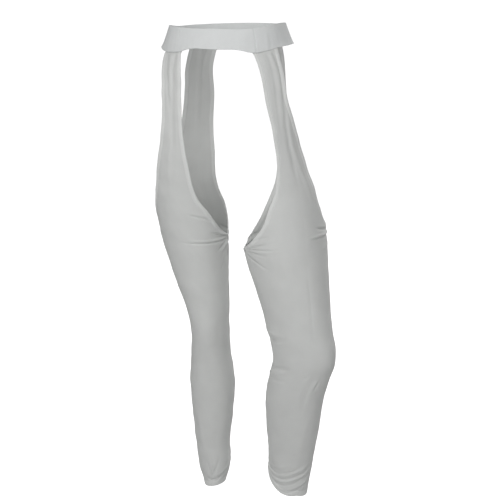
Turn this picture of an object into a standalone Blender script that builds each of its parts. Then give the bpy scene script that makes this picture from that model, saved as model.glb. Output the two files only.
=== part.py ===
"""White jersey chaps as they are worn, hollow: a waistband and two legs hung from it by straps.

Units are metres. +X is to the wearer's left, -Y to the front and +Z up. The origin is the
middle of the waistband, where the wearer's waist holds the garment. Each leg is cut as a front
and a back panel, and each panel runs up into the strap that is sewn to the waistband.
"""

from collections import namedtuple

import bmesh
import bpy
import numpy as np

# Cloth thickness, hems and the gaps that stand for the seams
JERSEY = 0.0011
TURNED_HEM = 0.0017
BAND_WALL = 0.0023
HEM_WIDTH = 0.008
ANKLE_HEM = 0.014
SEAM_GAP = 0.0008
WAIST_SEAM_GAP = 0.0008
# How far down the legs the cloth still follows the lower edge of the waistband
BAND_PULL = 0.036

# Waistband: an oval that is tilted up to the wearer's left and down to the front
BAND_HEIGHT = 0.042
BAND_TILT_LEFT = 0.026
BAND_DIP_FRONT = 0.035
BAND_SEAM_RIGHT = -41
BAND_SEAM_LEFT = 37
BAND_ROWS = 5
BAND_FRONT_COLUMNS = 14
BAND_BACK_COLUMNS = 46

BandRing = namedtuple("BandRing", "height half_width front back")
BAND_RINGS = (
    BandRing(BAND_HEIGHT / 2, 0.1230, 0.0885, 0.0885),
    BandRing(0.0, 0.1310, 0.0925, 0.0930),
    BandRing(-BAND_HEIGHT / 2, 0.1365, 0.0955, 0.0975),
)

# Where the straps pull the lower edge of the band down, where it curls out over the hip, and
# how the top edge rises. The bearing is in degrees from the centre front to the wearer's left.
BandEdge = namedtuple("BandEdge", "bearing drop curl rise")
BAND_EDGES = (
    BandEdge(-180, 0.000, 0.000, 0.000),
    BandEdge(-163, 0.002, 0.000, 0.000),
    BandEdge(-146, 0.005, 0.000, 0.000),
    BandEdge(-128, 0.002, 0.000, 0.000),
    BandEdge(-110, -0.001, 0.003, 0.000),
    BandEdge(-90, -0.003, 0.006, 0.004),
    BandEdge(-75, 0.000, 0.004, 0.006),
    BandEdge(-62, 0.004, 0.001, 0.006),
    BandEdge(-48, 0.004, 0.000, 0.005),
    BandEdge(-35, 0.002, 0.000, 0.004),
    BandEdge(-24, -0.004, 0.000, 0.003),
    BandEdge(0, -0.003, 0.000, 0.002),
    BandEdge(20, -0.001, 0.000, 0.000),
    BandEdge(34, 0.006, 0.000, 0.000),
    BandEdge(46, 0.004, 0.000, 0.002),
    BandEdge(60, -0.001, 0.000, 0.006),
    BandEdge(75, -0.004, 0.004, 0.007),
    BandEdge(90, -0.005, 0.004, 0.006),
    BandEdge(110, -0.001, 0.001, 0.002),
    BandEdge(128, 0.002, 0.000, 0.000),
    BandEdge(146, 0.005, 0.000, 0.000),
    BandEdge(163, 0.002, 0.000, 0.000),
    BandEdge(180, 0.000, 0.000, 0.000),
)

# Sections of each leg, from the waistband to the hem. out is from the middle of the body to the
# middle of the leg and fore is forwards. turn is how far the section is turned outwards, in
# degrees, the two slopes tilt its plane, and sag lowers its two sides between the high and the
# low end of the tilt.
SECTION_FIELDS = "height out fore half_width front back turn out_slope fore_slope sag"
Section = namedtuple("Section", SECTION_FIELDS, defaults=(0.0,))
RIGHT_SECTIONS = (
    Section(-0.021, 0.000, 0.000, 0.1356, 0.0947, 0.0967, 0, -0.026, -0.035),
    Section(-0.070, 0.008, 0.002, 0.1510, 0.1020, 0.1080, 0, -0.020, -0.030),
    Section(-0.130, 0.028, 0.004, 0.1440, 0.1040, 0.1180, 0, 0.000, -0.020),
    Section(-0.190, 0.051, 0.002, 0.1250, 0.1020, 0.1180, 0, 0.000, 0.000),
    Section(-0.250, 0.072, 0.000, 0.1010, 0.0960, 0.1050, 0, 0.000, 0.000),
    Section(-0.310, 0.084, -0.002, 0.0830, 0.0880, 0.0920, 0, 0.000, 0.000),
    Section(-0.380, 0.080, -0.004, 0.0760, 0.0820, 0.0840, 0, 0.000, 0.000),
    Section(-0.430, 0.0745, -0.005, 0.0710, 0.0760, 0.0780, 0, 0.000, 0.000),
    Section(-0.480, 0.067, -0.006, 0.0640, 0.0690, 0.0710, 0, 0.000, 0.000),
    Section(-0.525, 0.0590, -0.005, 0.0564, 0.0634, 0.0634, 0, 0.000, 0.000),
    Section(-0.570, 0.0495, -0.004, 0.0485, 0.0580, 0.0560, 0, 0.000, 0.000),
    Section(-0.630, 0.042, -0.004, 0.0410, 0.0560, 0.0500, 0, 0.000, 0.000),
    Section(-0.690, 0.043, -0.012, 0.0430, 0.0500, 0.0570, 0, 0.000, 0.000),
    Section(-0.750, 0.043, -0.020, 0.0490, 0.0480, 0.0620, 0, 0.000, 0.000),
    Section(-0.830, 0.043, -0.024, 0.0445, 0.0440, 0.0520, 0, 0.000, 0.000),
    Section(-0.900, 0.044, -0.026, 0.0378, 0.0400, 0.0450, 0, 0.000, 0.000),
    Section(-0.950, 0.040, -0.026, 0.0350, 0.0375, 0.0400, 0, -0.030, 0.000),
    Section(-0.997, 0.039, -0.026, 0.0230, 0.0330, 0.0330, 0, -0.140, 0.000),
)
LEFT_SECTIONS = (
    Section(-0.021, 0.000, 0.000, 0.1356, 0.0947, 0.0967, 0, 0.026, -0.035),
    Section(-0.070, 0.008, 0.002, 0.1510, 0.1020, 0.1080, 2, 0.020, -0.030),
    Section(-0.130, 0.027, 0.004, 0.1420, 0.1040, 0.1180, 4, 0.000, -0.020),
    Section(-0.190, 0.054, 0.004, 0.1190, 0.1020, 0.1180, 8, 0.000, 0.000),
    Section(-0.250, 0.082, 0.004, 0.1020, 0.0980, 0.1070, 16, 0.000, 0.000),
    Section(-0.310, 0.105, 0.006, 0.0950, 0.0980, 0.1000, 28, 0.000, 0.000),
    Section(-0.380, 0.121, 0.014, 0.0900, 0.0980, 0.0980, 42, 0.000, 0.000),
    Section(-0.430, 0.1305, 0.022, 0.0860, 0.0940, 0.0955, 51, 0.000, 0.000),
    Section(-0.480, 0.1405, 0.030, 0.0775, 0.0900, 0.0895, 60, 0.000, 0.000),
    Section(-0.560, 0.160, 0.046, 0.0610, 0.0790, 0.0770, 68, 0.000, 0.000),
    Section(-0.605, 0.169, 0.054, 0.0540, 0.0775, 0.0710, 72, 0.000, 0.000),
    Section(-0.640, 0.174, 0.056, 0.0510, 0.0805, 0.0650, 72, 0.000, 0.000),
    Section(-0.665, 0.176, 0.055, 0.0500, 0.0780, 0.0630, 72, 0.000, 0.000),
    Section(-0.700, 0.171, 0.050, 0.0500, 0.0700, 0.0665, 72, 0.000, 0.000),
    Section(-0.750, 0.162, 0.040, 0.0520, 0.0620, 0.0695, 72, 0.000, 0.000),
    Section(-0.830, 0.154, 0.028, 0.0480, 0.0560, 0.0625, 72, 0.000, -0.050),
    Section(-0.900, 0.146, 0.020, 0.0430, 0.0490, 0.0510, 72, -0.200, -0.100),
    Section(-0.967, 0.1385, 0.014, 0.0370, 0.0440, 0.0455, 72, -0.500, -0.200, 0.006),
)

# Edges of the straps, as bearings round the leg from its front, outwards positive: the front
# strap's inner and outer edge, then the back strap's. They end at the lowest points of the
# openings, where the front and the back panel meet.
StrapEdge = namedtuple("StrapEdge", "height front_in front_out back_in back_out")
RIGHT_STRAPS = (
    StrapEdge(-0.021, 34, 63, 160, 132),
    StrapEdge(-0.075, 24, 47, 160, 135),
    StrapEdge(-0.125, 17, 38, 166, 139),
    StrapEdge(-0.205, 4, 32, 176, 140),
    StrapEdge(-0.265, -11, 36, 191, 135),
    StrapEdge(-0.310, -23, 42, 203, 128),
    StrapEdge(-0.335, -31, 49, 212, 121),
    StrapEdge(-0.360, -44, 61, 227, 111),
    StrapEdge(-0.380, -54, 77, 236, 99),
    StrapEdge(-0.387, -58, 90, 240, 90),
    StrapEdge(-0.406, -72, 90, 252, 90),
    StrapEdge(-0.422, -96, 90, 264, 90),
)
LEFT_STRAPS = (
    StrapEdge(-0.021, 34, 61, 160, 132),
    StrapEdge(-0.075, 35, 57, 166, 142),
    StrapEdge(-0.125, 35, 58, 170, 147),
    StrapEdge(-0.185, 35, 65, 174, 149),
    StrapEdge(-0.245, 29, 69, 180, 149),
    StrapEdge(-0.300, 16, 73, 190, 146),
    StrapEdge(-0.341, 0, 78, 203, 138),
    StrapEdge(-0.379, -14, 94, 218, 124),
    StrapEdge(-0.394, -23, 112, 225, 112),
    StrapEdge(-0.412, -37, 112, 237, 112),
    StrapEdge(-0.426, -52, 112, 250, 112),
    StrapEdge(-0.436, -70, 112, 264, 112),
    StrapEdge(-0.440, -84, 112, 276, 112),
)

# The deepest folds of the cloth. Each runs from one height and bearing to another, and a
# negative rise is a trough.
Fold = namedtuple("Fold", "height bearing end_height end_bearing rise width")
RIGHT_FOLDS = (
    Fold(-0.050, 47, -0.260, 14, -0.0010, 0.010),
    Fold(-0.430, -8, -0.428, -90, -0.0016, 0.009),
    Fold(-0.954, 30, -0.982, -2, -0.0022, 0.009),
    Fold(-0.930, -26, -0.978, -8, 0.0016, 0.009),
    Fold(-0.952, -84, -0.978, -22, -0.0022, 0.009),
    Fold(-0.950, 150, -0.978, 196, -0.0020, 0.010),
    Fold(-0.655, 120, -0.640, 200, -0.0016, 0.010),
)
LEFT_FOLDS = (
    Fold(-0.060, 52, -0.300, 49, -0.0012, 0.006),
    Fold(-0.140, 58, -0.320, 60, 0.0012, 0.007),
    Fold(-0.430, -54, -0.423, 8, -0.0020, 0.010),
    Fold(-0.438, -58, -0.474, -30, -0.0018, 0.010),
    Fold(-0.400, 70, -0.390, 112, 0.0014, 0.010),
    Fold(-0.640, -84, -0.668, -40, -0.0022, 0.011),
    Fold(-0.662, -84, -0.700, -36, 0.0020, 0.011),
    Fold(-0.676, 4, -0.745, 46, 0.0018, 0.014),
    Fold(-0.630, 190, -0.652, 250, -0.0022, 0.012),
    Fold(-0.924, -80, -0.905, 20, 0.0024, 0.009),
    Fold(-0.934, -50, -0.900, 70, -0.0020, 0.008),
    Fold(-0.944, -30, -0.917, 84, 0.0022, 0.008),
    Fold(-0.940, 130, -0.925, 230, -0.0020, 0.010),
)

# Heights of the rows of the panels: down to a height, in steps of about this size
RowStep = namedtuple("RowStep", "down_to step")
RIGHT_ROWS = (
    RowStep(-0.045, 0.012),
    RowStep(-0.365, 0.020),
    RowStep(-0.440, 0.0095),
    RowStep(-0.920, 0.020),
    RowStep(-0.997 + ANKLE_HEM, 0.009),
    RowStep(-0.997, ANKLE_HEM),
)
LEFT_ROWS = (
    RowStep(-0.045, 0.012),
    RowStep(-0.375, 0.020),
    RowStep(-0.455, 0.0095),
    RowStep(-0.890, 0.019),
    RowStep(-0.967 + ANKLE_HEM, 0.008),
    RowStep(-0.967, ANKLE_HEM),
)
PANEL_COLUMNS = 12

Leg = namedtuple("Leg", "side sections straps folds rows inseam outseam")
RIGHT_LEG = Leg(-1, RIGHT_SECTIONS, RIGHT_STRAPS, RIGHT_FOLDS, RIGHT_ROWS, -96, 90)
LEFT_LEG = Leg(1, LEFT_SECTIONS, LEFT_STRAPS, LEFT_FOLDS, LEFT_ROWS, -84, 112)

WHITE_JERSEY = (0.78, 0.79, 0.79, 1.0)


def smooth_column(rows, at, column):
    """One column of a table at given values of its first column, on a smooth curve."""
    table = sorted(rows)
    place = np.array([row[0] for row in table])
    value = np.array([getattr(row, column) for row in table])
    step = np.diff(place)
    rise = np.diff(value) / step
    slope = np.empty(len(place))
    slope[0] = rise[0]
    slope[-1] = rise[-1]
    slope[1:-1] = (rise[1:] * step[:-1] + rise[:-1] * step[1:]) / (step[1:] + step[:-1])
    at = np.clip(at, place[0], place[-1])
    index = np.clip(np.searchsorted(place, at, side="right") - 1, 0, len(step) - 1)
    span = step[index]
    t = (at - place[index]) / span
    start = (2 * t**3 - 3 * t**2 + 1) * value[index] + (t**3 - 2 * t**2 + t) * span * slope[index]
    end = (3 * t**2 - 2 * t**3) * value[index + 1] + (t**3 - t**2) * span * slope[index + 1]
    return start + end


def oval_depth(angle, front, back):
    """The depth of an oval whose front and back halves differ, at an angle from its front."""
    share = (1 + np.cos(angle)) / 2
    return front * share + back * (1 - share)


def band_edge(bearing, column):
    """How far an edge of the band is off its plain oval at a bearing."""
    wrapped = (bearing + 180) % 360 - 180
    return smooth_column(BAND_EDGES, wrapped, column)


def band_point(height, bearing):
    """A point on the outside of the waistband."""
    angle = np.radians(bearing)
    front = smooth_column(BAND_RINGS, height, "front")
    back = smooth_column(BAND_RINGS, height, "back")
    half_width = smooth_column(BAND_RINGS, height, "half_width")
    below = np.clip(0.5 - height / BAND_HEIGHT, 0, 1)
    curl = band_edge(bearing, "curl") * below**3
    x = (half_width + curl) * np.sin(angle)
    y = -(oval_depth(angle, front, back) + curl) * np.cos(angle)
    z = height + x * BAND_TILT_LEFT + y * BAND_DIP_FRONT
    z = z - band_edge(bearing, "drop") * below**2 + band_edge(bearing, "rise") * (1 - below) ** 2
    return np.stack([x, y, z], axis=-1)


def fold_rise(leg, height, bearing):
    """How far the folds lift the cloth off the plain tube of a leg."""
    radius = smooth_column(leg.sections, height, "half_width")
    total = np.zeros_like(height)
    for fold in leg.folds:
        line_across = np.radians(fold.end_bearing - fold.bearing) * radius
        line_up = fold.end_height - fold.height
        across = np.radians(bearing - fold.bearing) * radius
        up = height - fold.height
        length = np.hypot(line_across, line_up)
        along = (across * line_across + up * line_up) / length
        beside = (across * line_up - up * line_across) / length
        past = np.maximum(0, np.maximum(-along, along - length))
        total = total + fold.rise * np.exp(-((beside / fold.width) ** 2) - (past / fold.width) ** 2)
    return total


def tube_point(leg, height, bearing, rise):
    """A point on the outside of a leg, lifted off its section by rise."""
    row = {name: smooth_column(leg.sections, height, name) for name in Section._fields[1:]}
    turn = np.radians(row["turn"])
    angle = np.radians(bearing) - turn
    across = (row["half_width"] + rise) * np.sin(angle)
    along = (oval_depth(angle, row["front"], row["back"]) + rise) * np.cos(angle)
    out = across * np.cos(turn) + along * np.sin(turn)
    fore = along * np.cos(turn) - across * np.sin(turn)
    x = leg.side * (row["out"] + out)
    y = -(row["fore"] + fore)
    tilt = out * row["out_slope"] + fore * row["fore_slope"]
    most = np.hypot(row["out_slope"], row["fore_slope"]) * row["half_width"] + 1e-6
    z = height + tilt + row["sag"] * (2 * np.minimum(1, (tilt / most) ** 2) - 1)
    return np.stack([x, y, z], axis=-1)


def leg_point(leg, height, bearing):
    """A point on the outside of a leg, with its folds, hung from the edge of the waistband."""
    point = tube_point(leg, height, bearing, fold_rise(leg, height, bearing))
    top = leg.sections[0].height
    near_band = np.clip(1 - (top - height) / BAND_PULL, 0, 1)
    drop = band_edge(leg.side * bearing, "drop") + WAIST_SEAM_GAP
    point[..., 2] -= drop * near_band**2
    return point


def bearing_step(leg, height, bearing, distance):
    """The change of bearing that covers a distance across the cloth."""
    one_degree = leg_point(leg, height, bearing + 0.5) - leg_point(leg, height, bearing - 0.5)
    return distance / np.linalg.norm(one_degree, axis=-1)


def row_heights(leg):
    """The heights of a leg's rows, from the waistband down."""
    heights = [leg.sections[0].height]
    for row in leg.rows:
        count = max(1, round((heights[-1] - row.down_to) / row.step))
        heights.extend(np.linspace(heights[-1], row.down_to, count + 1)[1:])
    return np.array(heights)


def panel_edges(leg, is_front, height):
    """The bearings of the two side edges of a panel at each height."""
    if is_front:
        start = np.maximum(smooth_column(leg.straps, height, "front_in"), leg.inseam)
        end = np.minimum(smooth_column(leg.straps, height, "front_out"), leg.outseam)
    else:
        start = np.maximum(smooth_column(leg.straps, height, "back_out"), leg.outseam)
        end = np.minimum(smooth_column(leg.straps, height, "back_in"), leg.inseam + 360)
    start = start + bearing_step(leg, height, start, SEAM_GAP / 2)
    end = end - bearing_step(leg, height, end, SEAM_GAP / 2)
    return start, end


def add_shell(collection, name, columns, rows, place, wall, thin_share, thick):
    """A closed shell: a grid laid on a surface and thickened inwards, with thicker hems."""
    mesh = bpy.data.meshes.new(name)
    grid = bmesh.new()
    bmesh.ops.create_grid(grid, x_segments=columns, y_segments=rows, size=0.5)
    grid.to_mesh(mesh)
    grid.free()
    flat = np.empty(len(mesh.vertices) * 3)
    mesh.vertices.foreach_get("co", flat)
    flat = flat.reshape(-1, 3) + 0.5
    column = np.rint(flat[:, 0] * columns).astype(int)
    row = np.rint(flat[:, 1] * rows).astype(int)
    mesh.vertices.foreach_set("co", place(column, row).ravel())
    mesh.shade_smooth()
    shell = bpy.data.objects.new(name, mesh)
    collection.objects.link(shell)
    hems = shell.vertex_groups.new(name="hems")
    for index in np.flatnonzero(thick(column, row)):
        hems.add([int(index)], 1.0, "REPLACE")
    thicken = shell.modifiers.new("Thicken", "SOLIDIFY")
    thicken.thickness = wall
    thicken.offset = -1
    thicken.use_rim = True
    thicken.vertex_group = hems.name
    thicken.thickness_vertex_group = thin_share
    material = bpy.data.materials.new(name)
    material.use_nodes = True
    shader = material.node_tree.nodes["Principled BSDF"]
    shader.inputs["Base Color"].default_value = WHITE_JERSEY
    shader.inputs["Roughness"].default_value = 0.9
    shader.inputs["Metallic"].default_value = 0.0
    mesh.materials.append(material)
    return shell


def add_band_piece(collection, name, start, end, columns):
    """One piece of the waistband, between its two seams."""
    gap = np.degrees(SEAM_GAP / 2 / BAND_RINGS[1].half_width)

    def place(column, row):
        bearing = start + gap + (end - start - 2 * gap) * column / columns
        height = BAND_HEIGHT * (row / BAND_ROWS - 0.5)
        return band_point(height, bearing)

    def everywhere(column, row):
        return np.ones(len(column), bool)

    return add_shell(collection, name, columns, BAND_ROWS, place, BAND_WALL, 1.0, everywhere)


def add_leg_panel(collection, name, leg, is_front):
    """A front or back panel of a leg, with the strap that it runs up into."""
    heights = row_heights(leg)
    rows = len(heights) - 1
    start, end = panel_edges(leg, is_front, heights)
    start_hem = start + bearing_step(leg, heights, start, HEM_WIDTH)
    end_hem = end - bearing_step(leg, heights, end, HEM_WIDTH)

    def place(column, row):
        line = rows - row
        across = column if leg.side > 0 else PANEL_COLUMNS - column
        share = (across - 1) / (PANEL_COLUMNS - 2)
        bearing = start_hem[line] + (end_hem[line] - start_hem[line]) * share
        bearing = np.where(across == 0, start[line], bearing)
        bearing = np.where(across == PANEL_COLUMNS, end[line], bearing)
        return leg_point(leg, heights[line], bearing)

    def hemmed(column, row):
        side_hem = (column <= 1) | (column >= PANEL_COLUMNS - 1)
        return side_hem | (row <= 1)

    thin_share = JERSEY / TURNED_HEM
    return add_shell(
        collection, name, PANEL_COLUMNS, rows, place, TURNED_HEM, thin_share, hemmed
    )


def main():
    for old in list(bpy.data.objects):
        bpy.data.objects.remove(old)
    chaps = bpy.data.collections.new("jersey_chaps")
    bpy.context.scene.collection.children.link(chaps)
    right_seam = BAND_SEAM_RIGHT
    left_seam = BAND_SEAM_LEFT
    add_band_piece(chaps, "waistband_front", right_seam, left_seam, BAND_FRONT_COLUMNS)
    add_band_piece(chaps, "waistband_back", left_seam, right_seam + 360, BAND_BACK_COLUMNS)
    add_leg_panel(chaps, "right_leg_front", RIGHT_LEG, True)
    add_leg_panel(chaps, "right_leg_back", RIGHT_LEG, False)
    add_leg_panel(chaps, "left_leg_front", LEFT_LEG, True)
    add_leg_panel(chaps, "left_leg_back", LEFT_LEG, False)


if __name__ == "__main__":
    main()
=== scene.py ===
"""White jersey chaps, finished: fine cloth with its folds, turned hems and stitches.

Units are metres. +X is to the wearer's left, -Y to the front and +Z up. The origin is the
middle of the waistband. Every piece of cloth lies on the form of its own solid in the frame.
"""

from collections import namedtuple

import bmesh
import bpy
import numpy as np
from bpy.props import FloatProperty, FloatVectorProperty, IntProperty, PointerProperty
from bpy.types import Operator, Panel, PropertyGroup
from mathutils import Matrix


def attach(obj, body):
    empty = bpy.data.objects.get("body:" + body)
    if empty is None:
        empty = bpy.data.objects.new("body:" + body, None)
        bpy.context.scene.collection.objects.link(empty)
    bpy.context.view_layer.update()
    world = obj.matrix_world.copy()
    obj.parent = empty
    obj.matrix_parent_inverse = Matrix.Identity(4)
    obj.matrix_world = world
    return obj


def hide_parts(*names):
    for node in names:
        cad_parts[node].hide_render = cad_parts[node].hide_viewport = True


bl_info = {
    "name": "Jersey chaps",
    "version": (1, 0, 0),
    "blender": (4, 5, 0),
    "location": "3D View > Sidebar > Chaps",
    "description": "White jersey chaps with folds, turned hems and stitches",
    "category": "Add Mesh",
}

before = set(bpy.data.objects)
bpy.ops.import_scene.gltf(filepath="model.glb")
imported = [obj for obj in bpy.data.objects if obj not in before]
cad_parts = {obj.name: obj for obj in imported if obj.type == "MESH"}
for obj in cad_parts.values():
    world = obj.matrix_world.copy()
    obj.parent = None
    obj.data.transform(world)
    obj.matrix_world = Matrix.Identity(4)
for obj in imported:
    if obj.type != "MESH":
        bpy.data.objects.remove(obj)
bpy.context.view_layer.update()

# The waistband: an oval that is tilted up to the wearer's left and down to the front
BAND_HEIGHT = 0.042
BAND_TILT_LEFT = 0.026
BAND_DIP_FRONT = 0.035
BAND_SEAM_RIGHT = -41
BAND_SEAM_LEFT = 37

BandRing = namedtuple("BandRing", "height half_width front back")
BAND_RINGS = (
    BandRing(BAND_HEIGHT / 2, 0.1230, 0.0885, 0.0885),
    BandRing(0.0, 0.1310, 0.0925, 0.0930),
    BandRing(-BAND_HEIGHT / 2, 0.1365, 0.0955, 0.0975),
)

# Where the straps pull the lower edge of the band down, where it curls out over the hip, and
# how the top edge rises. The bearing is in degrees from the centre front to the wearer's left.
BandEdge = namedtuple("BandEdge", "bearing drop curl rise")
BAND_EDGES = (
    BandEdge(-180, 0.000, 0.000, 0.000),
    BandEdge(-163, 0.002, 0.000, 0.000),
    BandEdge(-146, 0.005, 0.000, 0.000),
    BandEdge(-128, 0.002, 0.000, 0.000),
    BandEdge(-110, -0.001, 0.003, 0.000),
    BandEdge(-90, -0.003, 0.006, 0.004),
    BandEdge(-75, 0.000, 0.004, 0.006),
    BandEdge(-62, 0.004, 0.001, 0.006),
    BandEdge(-48, 0.004, 0.000, 0.005),
    BandEdge(-35, 0.002, 0.000, 0.004),
    BandEdge(-24, -0.004, 0.000, 0.003),
    BandEdge(0, -0.003, 0.000, 0.002),
    BandEdge(20, -0.001, 0.000, 0.000),
    BandEdge(34, 0.006, 0.000, 0.000),
    BandEdge(46, 0.004, 0.000, 0.002),
    BandEdge(60, -0.001, 0.000, 0.006),
    BandEdge(75, -0.004, 0.004, 0.007),
    BandEdge(90, -0.005, 0.004, 0.006),
    BandEdge(110, -0.001, 0.001, 0.002),
    BandEdge(128, 0.002, 0.000, 0.000),
    BandEdge(146, 0.005, 0.000, 0.000),
    BandEdge(163, 0.002, 0.000, 0.000),
    BandEdge(180, 0.000, 0.000, 0.000),
)

# Sections of each leg, from the waistband to the hem. out is from the middle of the body to the
# middle of the leg and fore is forwards. turn is how far the section is turned outwards, in
# degrees, the two slopes tilt its plane, and sag lowers its two sides between the high and the
# low end of the tilt.
SECTION_FIELDS = "height out fore half_width front back turn out_slope fore_slope sag"
Section = namedtuple("Section", SECTION_FIELDS, defaults=(0.0,))
RIGHT_SECTIONS = (
    Section(-0.021, 0.000, 0.000, 0.1356, 0.0947, 0.0967, 0, -0.026, -0.035),
    Section(-0.070, 0.008, 0.002, 0.1510, 0.1020, 0.1080, 0, -0.020, -0.030),
    Section(-0.130, 0.028, 0.004, 0.1440, 0.1040, 0.1180, 0, 0.000, -0.020),
    Section(-0.190, 0.051, 0.002, 0.1250, 0.1020, 0.1180, 0, 0.000, 0.000),
    Section(-0.250, 0.072, 0.000, 0.1010, 0.0960, 0.1050, 0, 0.000, 0.000),
    Section(-0.310, 0.084, -0.002, 0.0830, 0.0880, 0.0920, 0, 0.000, 0.000),
    Section(-0.380, 0.080, -0.004, 0.0760, 0.0820, 0.0840, 0, 0.000, 0.000),
    Section(-0.430, 0.0745, -0.005, 0.0710, 0.0760, 0.0780, 0, 0.000, 0.000),
    Section(-0.480, 0.067, -0.006, 0.0640, 0.0690, 0.0710, 0, 0.000, 0.000),
    Section(-0.525, 0.0590, -0.005, 0.0564, 0.0634, 0.0634, 0, 0.000, 0.000),
    Section(-0.570, 0.0495, -0.004, 0.0485, 0.0580, 0.0560, 0, 0.000, 0.000),
    Section(-0.630, 0.042, -0.004, 0.0410, 0.0560, 0.0500, 0, 0.000, 0.000),
    Section(-0.690, 0.043, -0.012, 0.0430, 0.0500, 0.0570, 0, 0.000, 0.000),
    Section(-0.750, 0.043, -0.020, 0.0490, 0.0480, 0.0620, 0, 0.000, 0.000),
    Section(-0.830, 0.043, -0.024, 0.0445, 0.0440, 0.0520, 0, 0.000, 0.000),
    Section(-0.900, 0.044, -0.026, 0.0378, 0.0400, 0.0450, 0, 0.000, 0.000),
    Section(-0.950, 0.040, -0.026, 0.0350, 0.0375, 0.0400, 0, -0.030, 0.000),
    Section(-0.997, 0.039, -0.026, 0.0230, 0.0330, 0.0330, 0, -0.140, 0.000),
)
LEFT_SECTIONS = (
    Section(-0.021, 0.000, 0.000, 0.1356, 0.0947, 0.0967, 0, 0.026, -0.035),
    Section(-0.070, 0.008, 0.002, 0.1510, 0.1020, 0.1080, 2, 0.020, -0.030),
    Section(-0.130, 0.027, 0.004, 0.1420, 0.1040, 0.1180, 4, 0.000, -0.020),
    Section(-0.190, 0.054, 0.004, 0.1190, 0.1020, 0.1180, 8, 0.000, 0.000),
    Section(-0.250, 0.082, 0.004, 0.1020, 0.0980, 0.1070, 16, 0.000, 0.000),
    Section(-0.310, 0.105, 0.006, 0.0950, 0.0980, 0.1000, 28, 0.000, 0.000),
    Section(-0.380, 0.121, 0.014, 0.0900, 0.0980, 0.0980, 42, 0.000, 0.000),
    Section(-0.430, 0.1305, 0.022, 0.0860, 0.0940, 0.0955, 51, 0.000, 0.000),
    Section(-0.480, 0.1405, 0.030, 0.0775, 0.0900, 0.0895, 60, 0.000, 0.000),
    Section(-0.560, 0.160, 0.046, 0.0610, 0.0790, 0.0770, 68, 0.000, 0.000),
    Section(-0.605, 0.169, 0.054, 0.0540, 0.0775, 0.0710, 72, 0.000, 0.000),
    Section(-0.640, 0.174, 0.056, 0.0510, 0.0805, 0.0650, 72, 0.000, 0.000),
    Section(-0.665, 0.176, 0.055, 0.0500, 0.0780, 0.0630, 72, 0.000, 0.000),
    Section(-0.700, 0.171, 0.050, 0.0500, 0.0700, 0.0665, 72, 0.000, 0.000),
    Section(-0.750, 0.162, 0.040, 0.0520, 0.0620, 0.0695, 72, 0.000, 0.000),
    Section(-0.830, 0.154, 0.028, 0.0480, 0.0560, 0.0625, 72, 0.000, -0.050),
    Section(-0.900, 0.146, 0.020, 0.0430, 0.0490, 0.0510, 72, -0.200, -0.100),
    Section(-0.967, 0.1385, 0.014, 0.0370, 0.0440, 0.0455, 72, -0.500, -0.200, 0.006),
)

# Edges of the straps, as bearings round the leg from its front, outwards positive: the front
# strap's inner and outer edge, then the back strap's. They end at the lowest points of the
# openings, where the front and the back panel meet.
StrapEdge = namedtuple("StrapEdge", "height front_in front_out back_in back_out")
RIGHT_STRAPS = (
    StrapEdge(-0.021, 34, 63, 160, 132),
    StrapEdge(-0.075, 24, 47, 160, 135),
    StrapEdge(-0.125, 17, 38, 166, 139),
    StrapEdge(-0.205, 4, 32, 176, 140),
    StrapEdge(-0.265, -11, 36, 191, 135),
    StrapEdge(-0.310, -23, 42, 203, 128),
    StrapEdge(-0.335, -31, 49, 212, 121),
    StrapEdge(-0.360, -44, 61, 227, 111),
    StrapEdge(-0.380, -54, 77, 236, 99),
    StrapEdge(-0.387, -58, 90, 240, 90),
    StrapEdge(-0.406, -72, 90, 252, 90),
    StrapEdge(-0.422, -96, 90, 264, 90),
)
LEFT_STRAPS = (
    StrapEdge(-0.021, 34, 61, 160, 132),
    StrapEdge(-0.075, 35, 57, 166, 142),
    StrapEdge(-0.125, 35, 58, 170, 147),
    StrapEdge(-0.185, 35, 65, 174, 149),
    StrapEdge(-0.245, 29, 69, 180, 149),
    StrapEdge(-0.300, 16, 73, 190, 146),
    StrapEdge(-0.341, 0, 78, 203, 138),
    StrapEdge(-0.379, -14, 94, 218, 124),
    StrapEdge(-0.394, -23, 112, 225, 112),
    StrapEdge(-0.412, -37, 112, 237, 112),
    StrapEdge(-0.426, -52, 112, 250, 112),
    StrapEdge(-0.436, -70, 112, 264, 112),
    StrapEdge(-0.440, -84, 112, 276, 112),
)

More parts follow.
